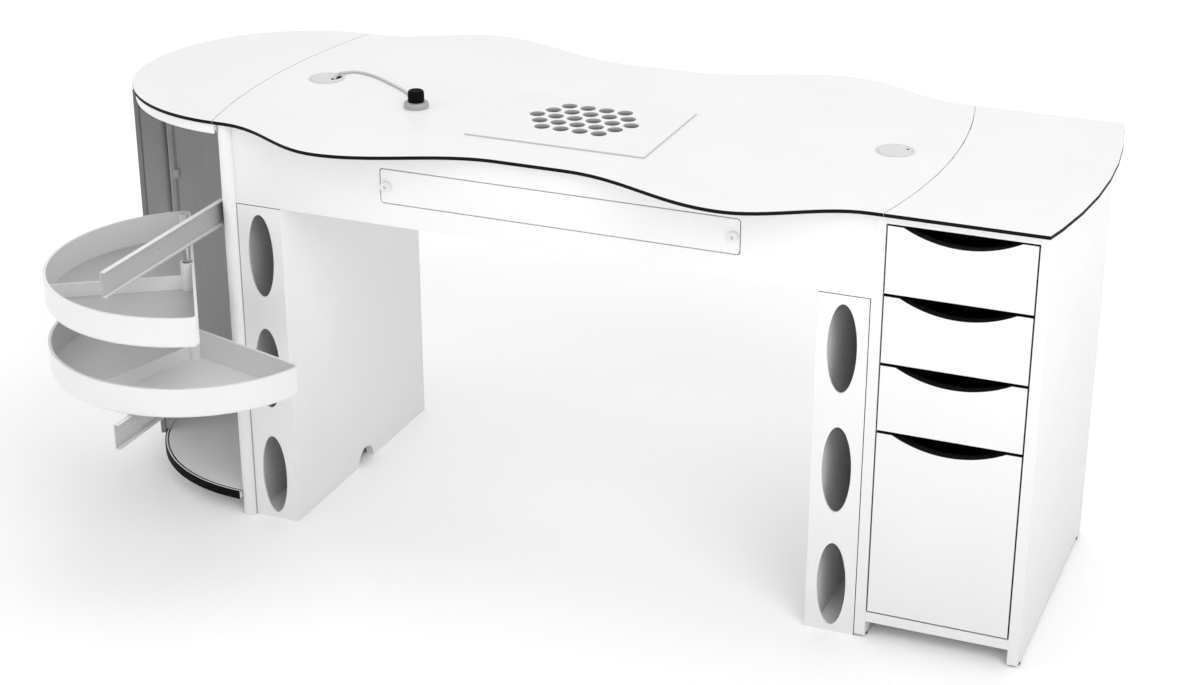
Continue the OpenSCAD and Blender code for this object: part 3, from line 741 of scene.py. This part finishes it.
class SALON_OT_aprons(Operator):
    """Finish the aprons, the panel below the extractor and its bracket"""
    bl_idname = "salon.aprons"
    bl_label = "Aprons"

    def execute(self, context):
        edge = settings("salon_boards").board_edge
        for node in ("apron_front", "apron_back", "under_panel"):
            finished(node, "white_melamine", edge, 40.0)
        finished("under_bracket", "zinc_plate", settings("salon_metals").sheet_edge)
        return {"FINISHED"}


class SALON_OT_access(Operator):
    """Finish the access panel and make its quarter-turn knobs"""
    bl_idname = "salon.access"
    bl_label = "Access panel"

    def execute(self, context):
        finished("access_panel", "white_melamine", settings("salon_boards").board_edge, 50.0)
        for side in ("left", "right"):
            finished("latch_knob_" + side, "white_moulding", 0.0012, 40.0, 4)
        return {"FINISHED"}


class SALON_OT_extractor(Operator):
    """Finish the extractor's case, filter, fan and supply"""
    bl_idname = "salon.extractor"
    bl_label = "Extractor"

    FINISHES = {
        # painted shade: the case is near black
        "extractor_case": "case_black_shade",
        "filter_tray": "grey_moulding",
        "filter_element": "filter_fleece",
        "fan_motor": "black_moulding",
        "fan_rotor": "grey_moulding",
        "exhaust_grille": "grey_moulding",
        "power_unit": "black_moulding",
        "fan_lead": "cord_sheath",
    }

    def execute(self, context):
        for node, finish in self.FINISHES.items():
            dress(node, finish)
        return {"FINISHED"}


class SALON_OT_legs(Operator):
    """Finish the hollow legs and the tall panel"""
    bl_idname = "salon.legs"
    bl_label = "Legs"

    OVAL_REACH = 0.03  # faces nearer the panel's middle than this are an oval's
    OVAL_MARGIN = 0.005  # the ovals end this far from the panel's ends

    def execute(self, context):
        edge = settings("salon_boards").board_edge
        for side, inward in (("left", -1), ("right", 1)):
            low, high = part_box(f"leg_{side}_front")
            middle = (low.x + high.x) / 2
            panel = finished(f"leg_{side}_front", "white_melamine", edge, 40.0, 2)
            # painted shade: the panel's upper faces and its inner end, seen through the gaps, are black
            paint(
                panel, "black_gap_shade",
                lambda centre, normal: normal.z > 0.5 or (
                    normal.x * inward > 0.5 and abs(centre.x - middle) > self.OVAL_REACH),
            )
            # painted shade: the panel's inner face and the walls of its ovals
            paint(
                panel, "leg_hollow_shade",
                lambda centre, normal: normal.y > 0.9 or (
                    abs(normal.y) < 0.5 and abs(centre.x - middle) < self.OVAL_REACH
                    and low.z + self.OVAL_MARGIN < centre.z < high.z - self.OVAL_MARGIN),
            )
            # painted shade: the inner faces of the leg's side and back
            paint(
                finished(f"leg_{side}_side", "white_melamine", edge, 40.0), "leg_hollow_shade",
                lambda centre, normal: normal.x * inward > 0.9,
            )
            paint(
                finished(f"leg_{side}_back", "white_melamine", edge, 40.0), "leg_hollow_shade",
                lambda centre, normal: normal.y < -0.9,
            )
        shade_hollow(finished("tall_panel", "white_melamine", edge, 40.0), "leg_left", 1)
        return {"FINISHED"}


class SALON_OT_cabinet(Operator):
    """Finish the drawer cabinet's boards, runners and glides"""
    bl_idname = "salon.cabinet"
    bl_label = "Drawer cabinet"

    def execute(self, context):
        edge = settings("salon_boards").board_edge
        for board in ("side_inner", "side_outer", "top", "base", "back"):
            piece = finished("cabinet_" + board, "white_melamine", edge, 40.0)
            if board == "side_inner":
                shade_hollow(piece, "leg_right", -1)
        finished("drawer_runners", "zinc_plate", settings("salon_metals").sheet_edge)
        finished("floor_glides", "black_moulding", 0.0008, 40.0)
        return {"FINISHED"}


class SALON_OT_drawers(Operator):
    """Finish the four drawers"""
    bl_idname = "salon.drawers"
    bl_label = "Drawers"

    def execute(self, context):
        edge = settings("salon_boards").board_edge
        for number in range(1, 5):
            # painted shade: the fronts' edges and their scoops' walls are black
            paint(
                finished(f"drawer_front_{number}", "white_melamine", edge, 40.0), "black_gap_shade",
                lambda centre, normal: abs(normal.y) < 0.5,
            )
            finished(f"drawer_box_{number}", "black_lacquer", settings("salon_metals").sheet_edge)
        return {"FINISHED"}


class SALON_OT_end_cabinet(Operator):
    """Finish the half-round cabinet and its curved shutter"""
    bl_idname = "salon.end_cabinet"
    bl_label = "Round cabinet"

    TRACK = (0.0074, 0.0046)  # the shutter's groove, from the rim inwards
    # painted shade: the strip is darker on one side of this line
    SHADE_SPLIT = 0.003  # where the wall strip's dark half starts, from the middle line
    EDGE = 0.0004

    def execute(self, context):
        low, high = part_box("end_base_band")
        axis = Vector((high.x, MID_Y))
        inner, outer = (axis.x - low.x - inset for inset in self.TRACK)
        for node in ("end_top_plate", "end_base_plate"):
            # painted shade: the groove's faces are black
            paint(
                finished(node, "white_melamine", settings("salon_boards").board_edge, 40.0), "black_core_and_groove_shade",
                lambda centre, normal: inner < (centre.xy - axis).length < outer,
            )
        finished("end_base_band", "black_moulding", self.EDGE, 40.0)
        finished("end_back_wall", "grey_sheet", self.EDGE, 50.0, 2)
        finished("shutter", "grey_sheet", self.EDGE, 50.0, 2)
        seam = MID_Y + self.SHADE_SPLIT
        # painted shade: one half of the strip is darker, the other is the lit grey of the sheet
        paint(
            split(finished("wall_strip", "strip_painted_shade", 0.0008, 40.0), ((0, seam, 0), (0, 1, 0))),
            "grey_sheet", lambda centre, normal: centre.y < seam,
        )
        finished("shutter_handle", "handle_strip", 0.0012, 40.0)
        return {"FINISHED"}


class SALON_OT_slides(Operator):
    """Finish the trays' slides, brackets and post"""
    bl_idname = "salon.slides"
    bl_label = "Tray slides"

    def execute(self, context):
        edge = settings("salon_metals").sheet_edge
        for node in ("tray_slides_fixed", "tray_slides_moving", "tray_brackets"):
            # painted light: the upward faces are lighter
            paint(finished(node, "rail_paint", edge), "rail_top_painted_light", lambda centre, normal: normal.z > 0.9)
        finished("tray_post", "ground_steel", edge)
        return {"FINISHED"}


class SALON_OT_trays(Operator):
    """Finish the two swing-out trays"""
    bl_idname = "salon.trays"
    bl_label = "Trays"

    BOSS = 0.009  # radius round the post that stays sharp
    FLOOR = 0.01  # the tray's floor lies lower than this
    LEVEL_GAP = 0.0001

    def round_foot(self, piece, radius, low):
        """Rounds the outer edge of the tray's underside."""
        mesh, post = piece.data, self.post
        for edge in mesh.edges:
            ends = [mesh.vertices[index].co for index in edge.vertices]
            edge.select = all(
                end.z < low.z + self.LEVEL_GAP and hypot(end.x - post.x, end.y - post.y) > self.BOSS
                for end in ends)
        for vertex in mesh.vertices:
            vertex.select = False
        for face in mesh.polygons:
            face.select = False
        bpy.ops.object.mode_set(mode="EDIT")
        bpy.ops.mesh.select_mode(type="EDGE")
        bpy.ops.mesh.bevel(offset=radius, segments=6, affect="EDGES")
        bpy.ops.mesh.select_mode(type="VERT")
        bpy.ops.object.mode_set(mode="OBJECT")

    def execute(self, context):
        plastics = settings("salon_plastics")
        low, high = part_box("tray_post")
        self.post = (low + high) / 2
        for level in ("lower", "upper"):
            node = "tray_" + level
            low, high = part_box(node)
            middle = ((low + high) / 2).xy
            piece = clean_copy(node, node + "_piece")
            self.round_foot(piece, plastics.tray_foot, low)
            soften(piece, plastics.moulded_edge, 40.0)
            settle(piece, "white_moulding", frame["nodes"][node]["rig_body"], SLOT_OF[node], node)
            # painted light: inner walls and floors are lighter, for the shade they lie in
            paint(
                piece, "tray_inside_painted_light",
                lambda centre, normal: (normal.z > 0.9 and centre.z < high.z - self.FLOOR) or (
                    abs(normal.z) < 0.5 and (centre.xy - middle).dot(normal.xy) < 0.0),
            )
            # painted shade: the upper tray's lit floor is darker
            if level == "upper":
                paint(
                    piece, "tray_floor_painted_shade",
                    lambda centre, normal: normal.z > 0.9 and centre.z < low.z + self.FLOOR,
                )
        return {"FINISHED"}


class SALON_OT_control(Operator):
    """Make the hand control's base and knob"""
    bl_idname = "salon.control"
    bl_label = "Hand control"

    KNOB_GAP = 0.0103  # from the worktop to the knob's underside

    def execute(self, context):
        finished("control_base", "puck_moulding", settings("salon_plastics").moulded_edge, 40.0, 4)
        low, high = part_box("control_knob")
        head = DESK_Z + self.KNOB_GAP
        centre = Vector(((low.x + high.x) / 2, (low.y + high.y) / 2, head))
        radius, height = (high.x - low.x) / 2, high.z - head
        knob = turned("control_knob_piece", centre, [
            (radius - 0.0012, 0.0), (radius - 0.0004, 0.0008), (radius, height * 0.4),
            (radius - 0.0003, height * 0.8), (radius - 0.0012, height * 0.93), (radius - 0.0028, height),
            (radius - 0.004, height), (radius - 0.0045, height - 0.0005), (0.001, height - 0.0007),
        ], settings("salon_control").knob_sides)
        settle(soften(knob, 0.0), "black_moulding", "speed_knob", SLOT_OF["control_knob"], "control_knob")
        return {"FINISHED"}


class SALON_PT_panel(Panel):
    """Buttons and settings for the table"""
    bl_label = "Salon table"
    bl_idname = "SALON_PT_panel"
    bl_space_type = "VIEW_3D"
    bl_region_type = "UI"
    bl_category = "Table"

    def draw(self, context):
        for operator in OPERATORS:
            self.layout.operator(operator.bl_idname)
        for name, group in SETTINGS.items():
            box = self.layout.box()
            box.label(text=group.__doc__)
            for field in group.__annotations__:
                box.prop(getattr(context.scene, name), field)


OPERATORS = (
    SALON_OT_stage, SALON_OT_cord, SALON_OT_worktop, SALON_OT_grille, SALON_OT_ports,
    SALON_OT_aprons, SALON_OT_access, SALON_OT_extractor, SALON_OT_legs, SALON_OT_cabinet,
    SALON_OT_drawers, SALON_OT_end_cabinet, SALON_OT_slides, SALON_OT_trays, SALON_OT_control,
)


def register():
    for cls in (*SETTINGS.values(), *OPERATORS, SALON_PT_panel):
        bpy.utils.register_class(cls)
    for name, group in SETTINGS.items():
        setattr(bpy.types.Scene, name, PointerProperty(type=group))


def unregister():
    for name in SETTINGS:
        delattr(bpy.types.Scene, name)
    for cls in reversed((*SETTINGS.values(), *OPERATORS, SALON_PT_panel)):
        bpy.utils.unregister_class(cls)


def main():
    """Builds every piece in order."""
    register()
    for operator in OPERATORS:
        group, name = operator.bl_idname.split(".")
        getattr(getattr(bpy.ops, group), name)()


if __name__ == "__main__":
    main()
